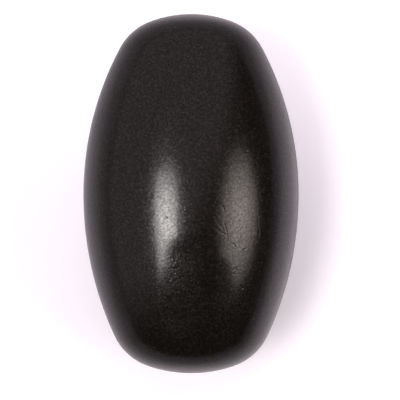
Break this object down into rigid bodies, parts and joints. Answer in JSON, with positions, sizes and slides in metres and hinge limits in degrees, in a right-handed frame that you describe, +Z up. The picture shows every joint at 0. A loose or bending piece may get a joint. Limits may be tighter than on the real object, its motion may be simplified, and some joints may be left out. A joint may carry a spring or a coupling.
{
  "type": "massage stone",
  "caption": "Barrel-shaped polished basalt pebble with domed ends and a small resting flat, warmed and rolled or pressed along the muscles in massage.",
  "frame": {"origin": "middle of the box's underside, on the plane of the resting flat", "axes": "+Y along the stone towards the slightly narrower end, +X across it, +Z up from the resting flat"},
  "size_m": [0.054, 0.09, 0.048],
  "materials": {
    "polished_basalt": "polished and oiled, with fine open pits"
  },
  "bodies": {
    "root": {"stone": "polished_basalt"}
  },
  "joints": []
}
